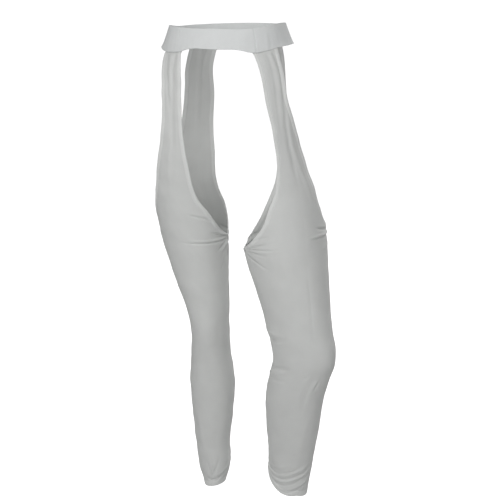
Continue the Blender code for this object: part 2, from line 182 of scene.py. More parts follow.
# Folds. Each runs through three points on the leg, given as heights and bearings. A negative
# rise is a trough, lean makes one flank softer, and held is the share of the depth that is
# there at once, where a fold starts from a seam or a hem.
FOLD_FIELDS = "height bearing mid_height mid_bearing end_height end_bearing rise width lean held"
Fold = namedtuple("Fold", FOLD_FIELDS)
RIGHT_FOLDS = (
    # front strap, gathered into the waistband
    Fold(-0.024, 41, -0.163, 21, -0.302, 7, -0.0019, 0.0056, 0.3, 1.0),
    Fold(-0.024, 54, -0.126, 29, -0.228, 17, -0.0012, 0.0050, 0.2, 1.0),
    Fold(-0.024, 47, -0.090, 33, -0.160, 23, 0.0011, 0.0050, 0.0, 1.0),
    Fold(-0.200, 16, -0.260, 16, -0.330, 12, 0.0008, 0.0070, 0.0, 0.0),
    # thigh, drawn towards the crotch
    Fold(-0.384, -52, -0.373, -32, -0.366, -8, -0.0018, 0.0030, 0.2, 0.3),
    Fold(-0.379, -50, -0.367, -30, -0.361, -10, 0.0006, 0.0036, 0.0, 0.2),
    Fold(-0.426, -95, -0.4305, -42, -0.425, 18, -0.0017, 0.0022, 0.2, 1.0),
    Fold(-0.4215, -93, -0.4250, -46, -0.421, 0, 0.0019, 0.0028, 0.0, 0.6),
    Fold(-0.4235, -94, -0.4165, -66, -0.405, -42, -0.0018, 0.0024, 0.0, 1.0),
    Fold(-0.4200, -90, -0.4100, -64, -0.396, -40, 0.0015, 0.0028, 0.0, 0.8),
    Fold(-0.430, -96, -0.4375, -75, -0.454, -56, -0.0024, 0.0029, 0.0, 0.55),
    Fold(-0.436, -96, -0.4430, -78, -0.460, -62, 0.0021, 0.0028, 0.0, 0.4),
    Fold(-0.445, -96, -0.4530, -79, -0.474, -64, -0.0022, 0.0034, 0.0, 0.5),
    Fold(-0.458, -96, -0.476, -76, -0.504, -60, -0.0014, 0.0060, 0.0, 0.8),
    Fold(-0.395, 84, -0.412, 60, -0.424, 36, -0.0012, 0.0060, 0.2, 0.8),
    Fold(-0.420, 88, -0.452, 60, -0.476, 40, 0.0008, 0.0080, 0.0, 0.4),
    # knee and shin
    Fold(-0.598, -44, -0.634, -46, -0.674, -34, -0.0011, 0.0090, 0.3, 0.0),
    Fold(-0.604, 46, -0.640, 50, -0.676, 42, -0.0010, 0.0090, 0.3, 0.0),
    Fold(-0.656, -60, -0.664, -20, -0.660, 30, -0.0008, 0.0080, 0.0, 0.0),
    Fold(-0.676, 2, -0.720, -3, -0.772, -6, -0.0007, 0.0080, 0.0, 0.0),
    Fold(-0.800, 38, -0.870, 25, -0.932, 10, 0.0010, 0.0080, 0.2, 0.0),
    Fold(-0.850, -30, -0.890, -22, -0.930, -30, -0.0008, 0.0080, 0.0, 0.0),
    # ankle
    Fold(-0.918, 12, -0.952, 6, -0.979, -2, -0.0010, 0.0044, 0.2, 0.0),
    Fold(-0.918, -42, -0.952, -22, -0.975, -6, -0.0012, 0.0044, -0.2, 0.0),
    Fold(-0.936, -12, -0.954, -8, -0.974, -4, 0.0009, 0.0060, 0.0, 0.0),
    Fold(-0.946, -98, -0.981, -20, -0.962, 40, -0.0017, 0.0040, 0.0, 1.0),
    Fold(-0.940, -98, -0.966, -44, -0.972, 4, 0.0014, 0.0046, 0.0, 1.0),
    Fold(-0.930, -98, -0.940, -76, -0.958, -50, -0.0010, 0.0042, 0.0, 1.0),
    # back strap and seat, like the front
    Fold(-0.024, 144, -0.120, 152, -0.250, 162, -0.0014, 0.0056, 0.2, 1.0),
    Fold(-0.024, 152, -0.070, 151, -0.125, 156, 0.0010, 0.0042, 0.0, 1.0),
    Fold(-0.240, 172, -0.330, 178, -0.400, 190, 0.0011, 0.0085, 0.2, 0.0),
    Fold(-0.426, 258, -0.4245, 226, -0.431, 182, -0.0021, 0.0034, 0.3, 0.6),
    Fold(-0.421, 256, -0.4160, 230, -0.417, 196, 0.0016, 0.0036, 0.0, 0.5),
    Fold(-0.438, 260, -0.452, 238, -0.472, 212, -0.0022, 0.0036, 0.0, 0.5),
    Fold(-0.396, 96, -0.410, 120, -0.420, 152, -0.0019, 0.0038, 0.0, 0.6),
    Fold(-0.390, 98, -0.400, 122, -0.406, 144, 0.0013, 0.0040, 0.0, 0.5),
    # hollow of the knee, calf and heel
    Fold(-0.632, 112, -0.650, 160, -0.640, 218, -0.0024, 0.0058, 0.2, 0.0),
    Fold(-0.640, 128, -0.6580, 168, -0.651, 206, 0.0015, 0.0052, 0.0, 0.0),
    Fold(-0.648, 230, -0.664, 192, -0.688, 146, -0.0021, 0.0048, 0.0, 0.0),
    Fold(-0.616, 206, -0.622, 168, -0.612, 132, 0.0013, 0.0060, 0.0, 0.0),
    Fold(-0.860, 130, -0.890, 150, -0.930, 160, 0.0010, 0.0080, 0.0, 0.0),
    Fold(-0.936, 128, -0.970, 176, -0.944, 236, -0.0026, 0.0044, 0.0, 0.0),
    Fold(-0.922, 142, -0.952, 180, -0.928, 218, 0.0019, 0.0050, 0.0, 0.0),
    Fold(-0.908, 150, -0.930, 182, -0.904, 210, -0.0018, 0.0044, 0.0, 0.0),
)
LEFT_FOLDS = (
    # front strap, fanning down from the waistband
    Fold(-0.024, 54, -0.200, 51, -0.330, 43, -0.0010, 0.0060, 0.3, 1.0),
    Fold(-0.024, 47, -0.110, 46, -0.220, 43, -0.0006, 0.0052, -0.2, 1.0),
    Fold(-0.024, 42, -0.090, 41, -0.190, 39, 0.0004, 0.0050, 0.0, 1.0),
    Fold(-0.030, 51, -0.090, 51, -0.170, 48, 0.0006, 0.0050, 0.0, 1.0),
    Fold(-0.130, 55, -0.262, 57, -0.350, 66, 0.0010, 0.0066, 0.2, 0.0),
    Fold(-0.280, 64, -0.317, 69, -0.352, 78, 0.0008, 0.0048, 0.0, 0.0),
    Fold(-0.250, 62, -0.300, 64, -0.350, 71, -0.0007, 0.0046, 0.0, 0.0),
    Fold(-0.320, 43, -0.420, 41, -0.520, 34, -0.0003, 0.0036, 0.3, 0.0),
    # thigh, drawn towards the crotch
    Fold(-0.436, -66, -0.429, -30, -0.421, 16, -0.0016, 0.0025, 0.2, 1.0),
    Fold(-0.436, -62, -0.4330, -36, -0.431, -8, 0.0009, 0.0028, 0.0, 1.0),
    Fold(-0.437, -60, -0.4370, -36, -0.440, -10, -0.0011, 0.0026, 0.0, 1.0),
    Fold(-0.439, -62, -0.4460, -40, -0.456, -16, 0.0006, 0.0034, 0.0, 0.8),
    Fold(-0.441, -66, -0.4530, -42, -0.470, -12, -0.0019, 0.0029, 0.0, 1.0),
    Fold(-0.447, -72, -0.4600, -56, -0.480, -42, -0.0009, 0.0034, 0.0, 0.8),
    Fold(-0.422, -44, -0.4050, -24, -0.395, 2, -0.0013, 0.0027, 0.0, 1.0),
    Fold(-0.428, -46, -0.4130, -22, -0.402, 4, 0.0011, 0.0028, 0.0, 1.0),
    Fold(-0.431, -50, -0.4200, -26, -0.410, 0, -0.0009, 0.0025, 0.0, 0.8),
    # outer thigh, under the hip opening
    Fold(-0.3930, 102, -0.3890, 80, -0.380, 56, -0.0036, 0.0034, 0.0, 0.6),
    Fold(-0.4000, 108, -0.3985, 76, -0.400, 46, 0.0026, 0.0027, 0.0, 0.5),
    Fold(-0.4055, 110, -0.4040, 76, -0.406, 42, -0.0022, 0.0029, 0.0, 0.6),
    Fold(-0.420, 110, -0.424, 84, -0.432, 58, 0.0009, 0.0060, 0.0, 0.8),
    # front of the thigh and the bent knee
    Fold(-0.440, 38, -0.540, 35, -0.640, 27, -0.0008, 0.0032, 0.3, 0.0),
    Fold(-0.602, -84, -0.6080, -52, -0.606, -16, 0.0014, 0.0050, 0.0, 0.8),
    Fold(-0.622, -84, -0.6220, -46, -0.608, -10, -0.0017, 0.0048, 0.2, 0.8),
    Fold(-0.692, -84, -0.6830, -46, -0.676, -10, -0.0024, 0.0038, -0.2, 0.9),
    Fold(-0.700, -84, -0.6930, -46, -0.687, -14, 0.0016, 0.0042, 0.2, 0.8),
    Fold(-0.714, -84, -0.7090, -46, -0.705, -14, -0.0018, 0.0036, 0.0, 0.8),
    Fold(-0.6990, 10, -0.6925, 16, -0.684, 22, -0.0013, 0.0030, 0.0, 0.5),
    Fold(-0.7220, 39, -0.7120, 41, -0.701, 45, -0.0014, 0.0032, 0.0, 0.5),
    Fold(-0.7180, 36, -0.7080, 38, -0.697, 42, 0.0009, 0.0032, 0.0, 0.5),
    Fold(-0.7740, 20, -0.7320, 26, -0.690, 30, -0.0008, 0.0042, 0.3, 0.2),
    Fold(-0.690, 38, -0.722, 22, -0.768, 24, -0.0012, 0.0070, 0.2, 0.0),
    Fold(-0.676, 4, -0.708, 26, -0.745, 46, 0.0011, 0.0090, 0.0, 0.0),
    Fold(-0.790, 40, -0.840, 30, -0.890, 28, 0.0008, 0.0090, 0.0, 0.0),
    # ankle, pushed up into stacked folds
    Fold(-0.932, -84, -0.926, -14, -0.880, 62, -0.0013, 0.0040, 0.2, 0.8),
    Fold(-0.924, -80, -0.915, -26, -0.886, 30, 0.0009, 0.0052, 0.0, 0.4),
    Fold(-0.948, -62, -0.9240, 24, -0.878, 112, -0.0015, 0.0034, 0.0, 0.2),
    Fold(-0.940, -76, -0.9200, 10, -0.870, 104, 0.0012, 0.0036, 0.0, 0.6),
    Fold(-0.957, -60, -0.9370, 27, -0.888, 112, -0.0014, 0.0031, 0.0, 0.2),
    Fold(-0.951, -66, -0.9305, 20, -0.883, 112, 0.0014, 0.0032, 0.0, 0.5),
    Fold(-0.958, -36, -0.9440, 36, -0.895, 112, 0.0014, 0.0034, 0.0, 0.2),
    Fold(-0.962, -20, -0.9500, 40, -0.903, 112, -0.0010, 0.0030, 0.0, 0.2),
    # back strap and seat, like the front
    Fold(-0.024, 143, -0.130, 158, -0.260, 165, -0.0014, 0.0056, 0.2, 1.0),
    Fold(-0.024, 152, -0.080, 159, -0.150, 165, 0.0010, 0.0042, 0.0, 1.0),
    Fold(-0.260, 172, -0.340, 182, -0.410, 192, 0.0011, 0.0085, 0.0, 0.0),
    Fold(-0.440, 270, -0.432, 236, -0.435, 192, -0.0024, 0.0036, 0.2, 0.5),
    Fold(-0.436, 268, -0.423, 240, -0.420, 206, 0.0016, 0.0038, 0.0, 0.4),
    Fold(-0.450, 270, -0.464, 246, -0.490, 222, -0.0022, 0.0038, 0.0, 0.5),
    Fold(-0.402, 116, -0.413, 142, -0.416, 176, -0.0020, 0.0036, 0.0, 0.6),
    Fold(-0.396, 118, -0.402, 142, -0.402, 166, 0.0013, 0.0040, 0.0, 0.4),
    # hollow of the knee, calf and heel
    Fold(-0.620, 178, -0.650, 214, -0.658, 264, -0.0027, 0.0056, 0.2, 0.0),
    Fold(-0.636, 176, -0.662, 210, -0.671, 258, 0.0019, 0.0052, 0.0, 0.0),
    Fold(-0.606, 186, -0.617, 222, -0.623, 260, -0.0019, 0.0050, 0.0, 0.0),
    Fold(-0.658, 172, -0.684, 206, -0.690, 250, -0.0020, 0.0050, 0.0, 0.0),
    Fold(-0.900, 130, -0.922, 180, -0.930, 236, -0.0021, 0.0052, 0.0, 0.0),
    Fold(-0.914, 124, -0.936, 176, -0.942, 244, 0.0018, 0.0050, 0.0, 0.3),
    Fold(-0.926, 116, -0.948, 178, -0.952, 250, -0.0022, 0.0046, 0.0, 0.3),
    Fold(-0.882, 140, -0.900, 172, -0.908, 214, 0.0013, 0.0060, 0.0, 0.0),
)

# Heights of the rows of cloth: down to a height, in steps of about this size
RowStep = namedtuple("RowStep", "down_to step")
RIGHT_ROWS = (
    RowStep(-0.050, 0.0022),
    RowStep(-0.355, 0.0036),
    RowStep(-0.455, 0.0016),
    RowStep(-0.900, 0.0036),
    RowStep(-0.9955, 0.0014),
)
LEFT_ROWS = (
    RowStep(-0.050, 0.0022),
    RowStep(-0.355, 0.0036),
    RowStep(-0.475, 0.0016),
    RowStep(-0.870, 0.0036),
    RowStep(-0.9655, 0.0013),
)

Leg = namedtuple("Leg", "name side sections straps folds rows inseam outseam seed")
RIGHT_LEG = Leg("right_leg", -1, RIGHT_SECTIONS, RIGHT_STRAPS, RIGHT_FOLDS, RIGHT_ROWS, -96, 90, 3)
LEFT_LEG = Leg("left_leg", 1, LEFT_SECTIONS, LEFT_STRAPS, LEFT_FOLDS, LEFT_ROWS, -84, 112, 8)

# Cut sizes of the cloth that shows, width and length in metres, and its flat area
Cut = namedtuple("Cut", "width length area")

# Sewing. The visible panels nearly close at the seams. A dent or relief is a depth, and an end
# is the width over which a turned layer runs out.
SEAM_GAP = 0.00012
WAIST_SEAM_GAP = 0.0006
SEAM_ALLOWANCE = 0.005
ALLOWANCE_END = 0.0010
SEAM_DENT = 0.0007
SEAM_DENT_WIDTH = 0.0016
HEM_RELIEF = 0.0005
HEM_END = 0.0012
STITCH_INSET = 0.0014
STITCH_DENT = 0.0007
STITCH_DENT_WIDTH = 0.0008
FREE, SEAM = 0, 1

# Where the legs go up behind the waistband. They go in over the first range, measured up from
# its lower edge, and their folds begin over the second, measured down from it. As far down as
# the last length, the cloth follows the ups and downs of that edge.
TUCK_HEIGHT = 0.007
TUCK_DEPTH = 0.0019
TUCK_SLOPE = 0.2
TUCK_RANGE = (-0.0030, 0.0005)
FOLD_RANGE = (-0.001, 0.012)
BAND_PULL = 0.036

# Folds: the points along one, the shares of its length where it has grown and begins to fade,
# how much its lean changes its width, and how much the cloth beside it lifts the other way
FOLD_POINTS = 13
FOLD_GROWS = 0.32
FOLD_FADES = 0.6
FOLD_LEAN = 0.4
FOLD_LIP = 0.55

# Broad unevenness of the cloth, in layers of a few waves each. BAND_CALM is the share of the
# waistband's that is left at its top edge.
SWELL_WAVES = 7
SWELL_SPREAD = (0.6, 1.7)
SWELL_PEAK = 2.6
LegSwell = namedtuple("LegSwell", "wavelength share")
LEG_SWELLS = (LegSwell(0.055, 1.0), LegSwell(0.022, 0.3))
BandSwell = namedtuple("BandSwell", "wavelength depth upwards seed")
BAND_SWELLS = (BandSwell(0.016, 0.00022, 0.25, 21), BandSwell(0.060, 0.0004, 0.4, 22))
BAND_CALM = 0.35

# Rows and columns of cloth. They lie close together along the edges, at these distances from
# them, and closer still where a panel is less than SQUEEZE_WIDTH times as wide as the last of
# these. The steps round the waistband are in degrees.
FINE_STEPS = (
    0.0, 0.00025, 0.0006, 0.0011, 0.0018, 0.0027, 0.0040, 0.0055, 0.0067, 0.0076, 0.0084, 0.0092,
    0.0105,
)
EDGE_ROWS = (0.0011, 0.0006, 0.00025, 0.0)
TUCK_ROWS = 6
INNER_COLUMNS = 92
SQUEEZE_WIDTH = 2.6
BAND_ROWS = 26
BAND_RIM = 0.003
FRONT_BAND_STEP = 0.8
BACK_BAND_STEP = 0.9
MERGE_DISTANCE = 0.0000005

# How a piece of cloth is built up from its surface: relief outwards, thickness inwards, how far
# its edges fall away on both faces, and where it is doubled
Build = namedtuple("Build", "relief wall fall doubled")

# The waistband's finish: beside each seam, the layers turned in make a soft ridge, and the ends
# are rounded by a small share of what the two rims are
BAND_RADIUS = BAND_RINGS[1].half_width
BAND_SEAM_RELIEF = 0.0002
BAND_SEAM_DENT_WIDTH = 0.0015
BAND_RIDGE_PLACE = 0.004
BAND_RIDGE_WIDTH = 0.0022
BAND_SEAM_ROUNDING = 0.12

# Rows of stitches: the points of their paths, how far they stay from a seam in degrees and from
# the waistband, how deep they are sunk, and the share of the thread's width that stands out
PATH_POINTS = 700
PATH_STEP = 0.0015
ANKLE_POINTS = 120
SEAM_CLEARANCE = 0.6
BAND_CLEARANCE = 0.004
STITCH_SINK = 0.0001
STITCH_STAND = 0.3

# Camera, with its angles in degrees, floor, and lights, each with the point that it faces
CAMERA_PLACE = (0.7442, -2.5959, 0.15)
CAMERA_PITCH = 77.4
CAMERA_TURN = 15
FLOOR_RADIUS = 70
FLOOR_GLOW = 0.96
Light = namedtuple("Light", "name place target width")
LIGHTS = (
    Light("key", (-0.16, -1.70, 0.62), (0.0, 0.0, -0.20), 1.5),
    Light("fill", (1.8, -1.3, -0.10), (0.0, 0.0, -0.35), 1.4),
    Light("back", (1.2, 2.6, 1.3), (0.0, 0.0, -0.35), 1.6),
)


class ClothSizes(PropertyGroup):
    """Sizes of the cloth, its hems and its folds."""

    jersey: FloatProperty(
        name="Jersey", description="Thickness of one layer of the legs' cloth",
        default=0.0011, min=0.0005, max=0.003, precision=4, unit="LENGTH",
    )
    hem_layer: FloatProperty(
        name="Turned layer", description="What a turned hem adds to the thickness, on the inside",
        default=0.0007, min=0.0, max=0.002, precision=4, unit="LENGTH",
    )
    band_wall: FloatProperty(
        name="Waistband", description="Thickness of the doubled waistband",
        default=0.0023, min=0.001, max=0.004, precision=4, unit="LENGTH",
    )
    hem_width: FloatProperty(
        name="Strap hem", description="Width of the hems along the straps and the openings",
        default=0.009, min=0.004, max=0.02, precision=4, unit="LENGTH",
    )
    ankle_hem: FloatProperty(
        name="Ankle hem", description="Width of the hems at the ankles",
        default=0.014, min=0.004, max=0.03, precision=4, unit="LENGTH",
    )
    fold_depth: FloatProperty(
        name="Fold depth", description="Depth of the folds, as a share of their depth here",
        default=1.0, min=0.0, max=2.0, subtype="FACTOR",
    )
    swell: FloatProperty(
        name="Swell", description="Depth of the broad unevenness between the folds",
        default=0.0004, min=0.0, max=0.002, precision=4, unit="LENGTH",
    )


class StitchSizes(PropertyGroup):
    """Sizes of the stitches that hold the hems."""

    pitch: FloatProperty(
        name="Pitch", description="Distance from one stitch to the next",
        default=0.0032, min=0.001, max=0.01, precision=4, unit="LENGTH",
    )
    length: FloatProperty(
        name="Length", description="Length of one stitch",
        default=0.0025, min=0.0005, max=0.01, precision=4, unit="LENGTH",
    )
    thread: FloatProperty(
        name="Thread", description="Width of the thread",
        default=0.0004, min=0.0001, max=0.001, precision=5, unit="LENGTH",
    )
    sides: IntProperty(
        name="Sides", description="Number of sides of a stitch", default=6, min=4, max=12
    )


class ClothColours(PropertyGroup):
    """Colours of the cloth, the thread and the floor."""

    band: FloatVectorProperty(
        name="Waistband", description="Colour of the waistband",
        default=(0.735, 0.752, 0.750), size=3, min=0.0, max=1.0, subtype="COLOR",
    )
    legs: FloatVectorProperty(
        name="Legs", description="Colour of one layer of the legs' cloth",
        default=(0.67, 0.68, 0.667), size=3, min=0.0, max=1.0, subtype="COLOR",
    )
    doubled: FloatVectorProperty(
        name="Hems", description="Colour of the legs' cloth where it is doubled and less sheer",
        default=(0.755, 0.765, 0.752), size=3, min=0.0, max=1.0, subtype="COLOR",
    )
    thread: FloatVectorProperty(
        name="Thread", description="Colour of the thread",
        default=(0.74, 0.75, 0.745), size=3, min=0.0, max=1.0, subtype="COLOR",
    )
    floor: FloatVectorProperty(
        name="Floor", description="Colour of the floor",
        default=(0.68, 0.68, 0.68), size=3, min=0.0, max=1.0, subtype="COLOR",
    )


class StageSettings(PropertyGroup):
    """Camera and lights."""

    lens: FloatProperty(
        name="Lens", description="Focal length of the camera",
        default=92.74, min=10.0, max=300.0, unit="CAMERA",
    )
    key_power: FloatProperty(
        name="Key light", description="Power of the soft light from above, in front",
        default=22.0, min=0.0, max=1000.0, unit="POWER",
    )
    fill_power: FloatProperty(
        name="Fill light", description="Power of the soft light on the wearer's left, in front",
        default=3.6, min=0.0, max=1000.0, unit="POWER",
    )
    back_power: FloatProperty(
        name="Back light", description="Power of the soft light from behind",
        default=48.0, min=0.0, max=1000.0, unit="POWER",
    )
    sky: FloatProperty(
        name="Surroundings", description="Strength of the even light from all round",
        default=0.23, min=0.0, max=5.0,
    )
    floor_height: FloatProperty(
        name="Floor", description="Height of the floor",
        default=-1.09, min=-5.0, max=5.0, unit="LENGTH",
    )


def smooth_column(rows, at, column):
    """One column of a table at given values of its first column, on a smooth curve."""
    table = sorted(rows)
    place = np.array([row[0] for row in table])
    value = np.array([getattr(row, column) for row in table])
    step = np.diff(place)
    rise = np.diff(value) / step
    slope = np.empty(len(place))
    slope[0] = rise[0]
    slope[-1] = rise[-1]
    slope[1:-1] = (rise[1:] * step[:-1] + rise[:-1] * step[1:]) / (step[1:] + step[:-1])
    at = np.clip(at, place[0], place[-1])
    index = np.clip(np.searchsorted(place, at, side="right") - 1, 0, len(step) - 1)
    span = step[index]
    t = (at - place[index]) / span
    start = (2 * t**3 - 3 * t**2 + 1) * value[index] + (t**3 - 2 * t**2 + t) * span * slope[index]
    end = (3 * t**2 - 2 * t**3) * value[index + 1] + (t**3 - t**2) * span * slope[index + 1]
    return start + end


def ease(value, low, high):
    """From 0 at low to 1 at high, with soft ends."""
    share = np.clip((value - low) / (high - low), 0, 1)
    return share * share * (3 - 2 * share)


def groove(distance, place, width):
    """A soft groove along an edge: 1 at its place in from the edge, and 0 well away from it."""
    return np.exp(-(((distance - place) / width) ** 2))


def dot(first, second):
    """Products of two lists of vectors, one by one."""
    return np.sum(first * second, axis=-1)


def unit(vectors):
    """Vectors brought to a length of 1."""
    return vectors / (np.linalg.norm(vectors, axis=-1, keepdims=True) + 1e-12)


def oval_depth(angle, front, back):
    """The depth of an oval whose front and back halves differ, at an angle from its front."""
    share = (1 + np.cos(angle)) / 2
    return front * share + back * (1 - share)


def band_edge(bearing, column):
    """How far an edge of the band is off its plain oval at a bearing."""
    wrapped = (bearing + 180) % 360 - 180
    return smooth_column(BAND_EDGES, wrapped, column)


def swell(across, up, seed, wavelength):
    """Broad unevenness of about 1 either way: a few waves in fixed directions."""
    chance = np.random.default_rng(seed)
    total = np.zeros_like(across)
    for _ in range(SWELL_WAVES):
        direction = chance.uniform(0, np.pi)
        length = wavelength * chance.uniform(*SWELL_SPREAD)
        phase = chance.uniform(0, 2 * np.pi)
        along = across * np.cos(direction) + up * np.sin(direction)
        total = total + np.sin(2 * np.pi * along / length + phase)
    return total / SWELL_PEAK


def band_point(height, bearing, rise):
    """A point on the outside of the waistband, lifted off it by rise."""
    angle = np.radians(bearing)
    front = smooth_column(BAND_RINGS, height, "front")
    back = smooth_column(BAND_RINGS, height, "back")
    half_width = smooth_column(BAND_RINGS, height, "half_width")
    below = np.clip(0.5 - height / BAND_HEIGHT, 0, 1)
    curl = band_edge(bearing, "curl") * below**3 + rise
    x = (half_width + curl) * np.sin(angle)
    y = -(oval_depth(angle, front, back) + curl) * np.cos(angle)
    z = height + x * BAND_TILT_LEFT + y * BAND_DIP_FRONT
    z = z - band_edge(bearing, "drop") * below**2 + band_edge(bearing, "rise") * (1 - below) ** 2
    return np.stack([x, y, z], axis=-1)


def tube_point(leg, height, bearing, rise=0.0):
    """A point on the outside of a leg, lifted off its section by rise."""
    row = {name: smooth_column(leg.sections, height, name) for name in Section._fields[1:]}
    turn = np.radians(row["turn"])
    angle = np.radians(bearing) - turn
    across = (row["half_width"] + rise) * np.sin(angle)
    along = (oval_depth(angle, row["front"], row["back"]) + rise) * np.cos(angle)
    out = across * np.cos(turn) + along * np.sin(turn)
    fore = along * np.cos(turn) - across * np.sin(turn)
    x = leg.side * (row["out"] + out)
    y = -(row["fore"] + fore)
    tilt = out * row["out_slope"] + fore * row["fore_slope"]
    most = np.hypot(row["out_slope"], row["fore_slope"]) * row["half_width"] + 1e-6
    z = height + tilt + row["sag"] * (2 * np.minimum(1, (tilt / most) ** 2) - 1)
    top = leg.sections[0].height
    near_band = np.clip(1 - (top - height) / BAND_PULL, 0, 1)
    z = z - (band_edge(leg.side * bearing, "drop") + WAIST_SEAM_GAP) * near_band**2
    return np.stack([x, y, z], axis=-1)


def surface_steps(leg, height, bearing):
    """How a point of a leg's cloth moves with a degree round the leg and with a metre up it."""
    probe = 0.001
    by_turn = tube_point(leg, height, bearing + 0.5) - tube_point(leg, height, bearing - 0.5)
    by_height = tube_point(leg, height + probe, bearing) - tube_point(leg, height - probe, bearing)
    return by_turn, by_height / (2 * probe)


def across_step(leg, height, bearing, distance):
    """The change of bearing that covers a distance level round the leg."""
    by_turn, _ = surface_steps(leg, height, bearing)
    return distance / np.linalg.norm(by_turn, axis=-1)


def leg_radius(leg, height):
    """About how far the cloth of a leg is from its middle."""
    half_width = smooth_column(leg.sections, height, "half_width")
    return (half_width + smooth_column(leg.sections, height, "front")) / 2


def fold_line(fold):
    """Points along a fold: their share of its length, heights and turns from its start."""
    share = np.linspace(0, 1, FOLD_POINTS)
    first = 2 * (share - 0.5) * (share - 1)
    middle = -4 * share * (share - 1)
    last = 2 * share * (share - 0.5)
    height = fold.height * first + fold.mid_height * middle + fold.end_height * last
    turned = (fold.mid_bearing - fold.bearing) * middle + (fold.end_bearing - fold.bearing) * last
    return share, height, turned


def one_fold(leg, fold, height, bearing):
    """How far one fold lifts the cloth at each of some points."""
    radius = leg_radius(leg, height)
    turned = (bearing - fold.bearing + 180) % 360 - 180
    share, line_height, line_turned = fold_line(fold)
    nearest = np.full(height.shape, np.inf)
    beside = np.zeros(height.shape)
    along = np.zeros(height.shape)
    for index in range(FOLD_POINTS - 1):
        step_across = np.radians(line_turned[index + 1] - line_turned[index]) * radius
        step_up = line_height[index + 1] - line_height[index]
        across = np.radians(turned - line_turned[index]) * radius
        up = height - line_height[index]
        length = np.hypot(step_across, step_up) + 1e-9
        part = np.clip((across * step_across + up * step_up) / length**2, 0, 1)
        off_across = across - part * step_across
        off_up = up - part * step_up
        distance = np.hypot(off_across, off_up)
        side = np.sign(off_across * step_up - off_up * step_across)
        closer = distance < nearest
        nearest = np.where(closer, distance, nearest)
        beside = np.where(closer, distance * side, beside)
        along = np.where(closer, share[index] + part / (FOLD_POINTS - 1), along)
    start = fold.held + (1 - fold.held) * ease(along, 0, FOLD_GROWS)
    strength = start * (1 - ease(along, FOLD_FADES, 1.0))
    width = fold.width * (1 + FOLD_LEAN * fold.lean * np.tanh(beside / fold.width))
    off = (beside / width) ** 2
    return fold.rise * strength * (1 - FOLD_LIP * off) * np.exp(-off)


def fold_rise(leg, height, bearing):
    """How far all the folds lift the cloth of a leg, on a grid whose rows are level."""
    total = np.zeros_like(height)
    for fold in leg.folds:
        reach = 4 * fold.width
        heights = (fold.height, fold.mid_height, fold.end_height)
        rows = (height[:, 0] > min(heights) - reach) & (height[:, 0] < max(heights) + reach)
        if rows.any():
            total[rows] += one_fold(leg, fold, height[rows], bearing[rows])
    return total


def cloth_rise(leg, height, bearing, sizes):
    """How far the folds and the unevenness lift the cloth of a leg, below the waistband."""
    rise = fold_rise(leg, height, bearing) * sizes.fold_depth
    across = np.radians(bearing) * leg_radius(leg, height)
    for index, layer in enumerate(LEG_SWELLS):
        waves = swell(across, height, leg.seed + index, layer.wavelength)
        rise = rise + sizes.swell * layer.share * waves
    return rise * ease(leg.sections[0].height - height, *FOLD_RANGE)


def tuck(leg, height):
    """How far the cloth goes in behind the waistband, above its lower edge."""
    above = height - leg.sections[0].height
    return -(TUCK_DEPTH + TUCK_SLOPE * above) * ease(above, *TUCK_RANGE)


def row_heights(leg):
    """The heights of a leg's rows of cloth, from behind the waistband down to the hem."""
    top = leg.sections[0].height
    heights = list(np.linspace(top + TUCK_HEIGHT, top, TUCK_ROWS))
    for row in leg.rows:
        count = max(1, round((heights[-1] - row.down_to) / row.step))
        heights.extend(np.linspace(heights[-1], row.down_to, count + 1)[1:])
    bottom = leg.sections[-1].height
    heights.extend(bottom + step for step in EDGE_ROWS if bottom + step < heights[-1] - 0.0001)
    return np.array(heights)


def panel_limits(leg, is_front):
    """Bearings of the two seams that a panel lies between."""
    if is_front:
        return leg.inseam, leg.outseam
    return leg.outseam, leg.inseam + 360


def panel_edges(leg, is_front, height):
    """The two side edges of a panel: their bearings, and whether each is free or a seam."""
    columns = ("front_in", "front_out") if is_front else ("back_out", "back_in")
    start, end = (smooth_column(leg.straps, height, column) for column in columns)
    first_seam, last_seam = panel_limits(leg, is_front)
    slack = 0.01
    start_kind = np.where(start > first_seam + slack, FREE, SEAM)
    end_kind = np.where(end < last_seam - slack, FREE, SEAM)
    start = np.maximum(start, first_seam)
    end = np.minimum(end, last_seam)
    start = start + across_step(leg, height, start, SEAM_GAP / 2)
    end = end - across_step(leg, height, end, SEAM_GAP / 2)
    return start, end, start_kind, end_kind


def panel_bearings(leg, heights, start, end):
    """Bearings of a panel's columns in each row, close together along both side edges."""
    room = np.radians(end - start) * leg_radius(leg, heights)
    shrink = np.minimum(1, room / (SQUEEZE_WIDTH * FINE_STEPS[-1]))
    left = [start + across_step(leg, heights, start, shrink * step) for step in FINE_STEPS]
    right = [end - across_step(leg, heights, end, shrink * step) for step in FINE_STEPS]
    shares = np.linspace(0, 1, INNER_COLUMNS + 2)[1:-1]
    inner = [left[-1] + (right[-1] - left[-1]) * share for share in shares]
    return np.stack(left + inner + right[::-1], axis=1)


def distance_to(points, *lines):
    """The distance of each point of a grid to the nearest of some lines, where they are near."""
    reach = 0.03
    nearest = np.full(points.shape[:2], 1.0)
    for line in lines:
        for first, second in zip(line[:-1], line[1:]):
            rows = np.abs(points[:, :, 2] - first[2]).min(axis=1) < reach
            if not rows.any():
                continue
            near = points[rows]
            step = second - first
            part = np.clip(((near - first) @ step) / max(step @ step, 1e-12), 0, 1)
            off = np.linalg.norm(near - first - part[..., None] * step, axis=-1)
            nearest[rows] = np.minimum(nearest[rows], off)
    return nearest


def grid_normals(points, outward):
    """Normals of a grid of points, pointing away from the middle of the piece."""
    normal = unit(np.cross(np.gradient(points, axis=0), np.gradient(points, axis=1)))
    return normal * np.sign(dot(normal, outward).mean())


def rounding(distance, radius):
    """How far a rounded edge falls away, at a distance from the edge."""
    left = np.clip(1 - distance / radius, 0, 1)
    return radius * (1 - np.sqrt(np.clip(1 - left**2, 0, 1)))


